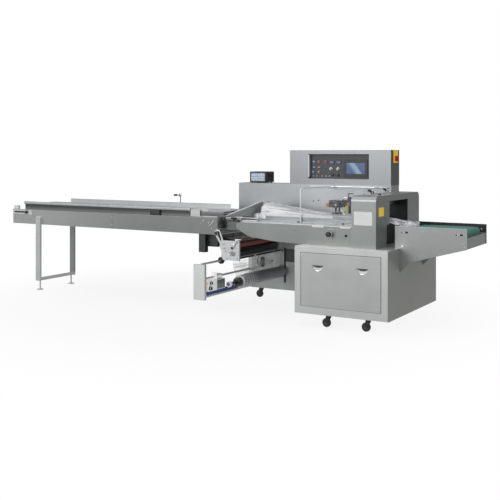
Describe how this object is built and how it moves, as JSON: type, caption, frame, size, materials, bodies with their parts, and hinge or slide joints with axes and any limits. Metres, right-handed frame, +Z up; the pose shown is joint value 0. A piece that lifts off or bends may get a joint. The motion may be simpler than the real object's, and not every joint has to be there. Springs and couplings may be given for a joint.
{
  "type": "horizontal flow wrapping machine",
  "caption": "Stainless horizontal flow wrapper with a long infeed, low film reel, folding wings, seam wheels under a clear cover, end sealing head and short output belt.",
  "frame": {"origin": "centre of the bounding box at floor level", "axes": "+X runs with the product from the infeed to the output, +Y points from the operator's side to the rear wall, +Z is up"},
  "size_m": [5.05, 1.216, 1.5],
  "materials": {
    "cabinet_steel": "brushed stainless sheet, satin",
    "sheet_steel": "fine brushed stainless sheet",
    "bright_steel": "ground and polished steel",
    "aluminium": "milled aluminium plate",
    "black_plastic": "moulded black plastic",
    "black_metal": "black oxide or black paint",
    "panel_grey": "dark grey control face",
    "screen_blue": "glossy display face in a dark bezel",
    "control_pieces": "coloured caps and displays",
    "switch_yellow": "yellow plate",
    "switch_red": "red knob",
    "clear_acrylic": "clear sheet with polished edges",
    "film_clear": "thin clear packing film",
    "film_wound": "wound clear film",
    "belt_green": "green conveyor belt",
    "rubber_red": "red drive rubber",
    "white_plastic": "white housing",
    "wheel_rubber": "dark caster tread",
    "rail_blue": "dark blue rail",
    "chain_steel": "plain chain steel"
  },
  "bodies": {
    "frame": {"back_wall": "sheet_steel", "belt_rollers": "bright_steel", "cabinet_cover": "cabinet_steel", "cabinet_pulls": "bright_steel", "coder": "white_plastic", "control_box": "sheet_steel", "control_panel": "panel_grey", "controller": "black_plastic", "cradle_end_plate": "aluminium", "cradle_rail": "rail_blue", "cradle_rods": "bright_steel", "drive_cover": "sheet_steel", "feed_side_plates": "aluminium", "feed_tie_bars": "aluminium", "film_table": "sheet_steel", "film_tube": "film_clear", "film_web": "film_clear", "former_bed": "sheet_steel", "former_wings": "bright_steel", "forming_table": "sheet_steel", "front_cabinet": "cabinet_steel", "head_box": "sheet_steel", "head_lid": "clear_acrylic", "infeed_bed": "sheet_steel", "infeed_chain": "chain_steel", "infeed_frame": "sheet_steel", "infeed_guides": "sheet_steel", "leg_frame": "bright_steel", "lid_levers": "black_plastic", "output_belt": "belt_green", "output_frame": "sheet_steel", "panel_controls": "control_pieces", "photocell": "black_metal", "rear_base": "cabinet_steel", "reel_mount": "sheet_steel", "seal_housing": "aluminium", "sealing_jaws": "bright_steel", "switch_plate": "switch_yellow", "touch_screen": "screen_blue"},
    "switch_knob": {"switch_knob": "switch_red"},
    "safety_cover": {"safety_cover": "clear_acrylic"},
    "reel": {"reel_shaft": "black_metal", "film_roll": "film_wound", "reel_end_cap": "white_plastic"},
    "steel_roller": {"steel_roller": "bright_steel"},
    "rubber_roller": {"rubber_roller": "rubber_red"},
    "guide_roller": {"guide_roller": "bright_steel"},
    "beam_knob": {"beam_knob": "black_plastic"},
    "reel_knob": {"reel_knob": "black_plastic"},
    "seal_lever": {"seal_lever": "black_metal"},
    "seal_wheel_front": {"seal_wheel_front": "bright_steel"},
    "seal_wheel_rear": {"seal_wheel_rear": "bright_steel"},
    "caster_fork_front_left": {"caster_fork_front_left": "black_metal"},
    "caster_wheel_front_left": {"caster_wheel_front_left": "wheel_rubber"},
    "caster_fork_front_right": {"caster_fork_front_right": "black_metal"},
    "caster_wheel_front_right": {"caster_wheel_front_right": "wheel_rubber"},
    "caster_fork_rear_left": {"caster_fork_rear_left": "black_metal"},
    "caster_wheel_rear_left": {"caster_wheel_rear_left": "wheel_rubber"},
    "caster_fork_rear_right": {"caster_fork_rear_right": "black_metal"},
    "caster_wheel_rear_right": {"caster_wheel_rear_right": "wheel_rubber"}
  },
  "joints": [
    {"name": "mains_switch", "type": "hinge", "parent": "frame", "child": "switch_knob", "pos_m": [1.605, 0.512, 1.419], "axis": [1, 0, 0], "range_deg": [0, 90]},
    {"name": "cover_hinge", "type": "hinge", "parent": "frame", "child": "safety_cover", "pos_m": [0.98, 0.38, 1.15], "axis": [-1, 0, 0], "range_deg": [0, 80]},
    {"name": "film_reel", "type": "hinge", "parent": "frame", "child": "reel", "pos_m": [0.465, -0.418, 0.303], "axis": [0, 1, 0], "continuous": true},
    {"name": "steel_roller_turn", "type": "hinge", "parent": "frame", "child": "steel_roller", "pos_m": [0.382, -0.394, 0.549], "axis": [0, 1, 0], "continuous": true},
    {"name": "rubber_roller_turn", "type": "hinge", "parent": "frame", "child": "rubber_roller", "pos_m": [0.382, -0.394, 0.6279], "axis": [0, 1, 0], "continuous": true},
    {"name": "guide_roller_turn", "type": "hinge", "parent": "frame", "child": "guide_roller", "pos_m": [0.215, -0.394, 0.728], "axis": [0, 1, 0], "continuous": true},
    {"name": "beam_knob_turn", "type": "hinge", "parent": "frame", "child": "beam_knob", "pos_m": [1.385, -0.438, 0.781], "axis": [0, 1, 0], "continuous": true},
    {"name": "reel_knob_turn", "type": "hinge", "parent": "frame", "child": "reel_knob", "pos_m": [0.093, -0.148, 0.441], "axis": [0, 1, 0], "continuous": true},
    {"name": "seal_lever_turn", "type": "hinge", "parent": "frame", "child": "seal_lever", "pos_m": [1.293, -0.095, 1.008], "axis": [0, 1, 0], "range_deg": [0, 35]},
    {"name": "seal_wheel_front_turn", "type": "hinge", "parent": "frame", "child": "seal_wheel_front", "pos_m": [1.265, -0.0718, 0.934], "axis": [0, 0, 1], "continuous": true},
    {"name": "seal_wheel_rear_turn", "type": "hinge", "parent": "frame", "child": "seal_wheel_rear", "pos_m": [1.265, 0.0058, 0.934], "axis": [0, 0, 1], "continuous": true},
    {"name": "caster_swivel_front_left", "type": "hinge", "parent": "frame", "child": "caster_fork_front_left", "pos_m": [1.403, -0.496, 0.11], "axis": [0, 0, 1], "continuous": true},
    {"name": "caster_roll_front_left", "type": "hinge", "parent": "caster_fork_front_left", "child": "caster_wheel_front_left", "pos_m": [1.379, -0.496, 0.038], "axis": [0, 1, 0], "continuous": true},
    {"name": "caster_swivel_front_right", "type": "hinge", "parent": "frame", "child": "caster_fork_front_right", "pos_m": [1.763, -0.496, 0.11], "axis": [0, 0, 1], "continuous": true},
    {"name": "caster_roll_front_right", "type": "hinge", "parent": "caster_fork_front_right", "child": "caster_wheel_front_right", "pos_m": [1.739, -0.496, 0.038], "axis": [0, 1, 0], "continuous": true},
    {"name": "caster_swivel_rear_left", "type": "hinge", "parent": "frame", "child": "caster_fork_rear_left", "pos_m": [0.171, 0.497, 0.11], "axis": [0, 0, 1], "continuous": true},
    {"name": "caster_roll_rear_left", "type": "hinge", "parent": "caster_fork_rear_left", "child": "caster_wheel_rear_left", "pos_m": [0.147, 0.497, 0.038], "axis": [0, 1, 0], "continuous": true},
    {"name": "caster_swivel_rear_right", "type": "hinge", "parent": "frame", "child": "caster_fork_rear_right", "pos_m": [1.763, 0.497, 0.11], "axis": [0, 0, 1], "continuous": true},
    {"name": "caster_roll_rear_right", "type": "hinge", "parent": "caster_fork_rear_right", "child": "caster_wheel_rear_right", "pos_m": [1.739, 0.497, 0.038], "axis": [0, 1, 0], "continuous": true}
  ],
  "couplings": [
    {"joint": "rubber_roller_turn", "follows": "steel_roller_turn", "ratio": -1.2941},
    {"joint": "seal_wheel_rear_turn", "follows": "seal_wheel_front_turn", "ratio": -1}
  ]
}
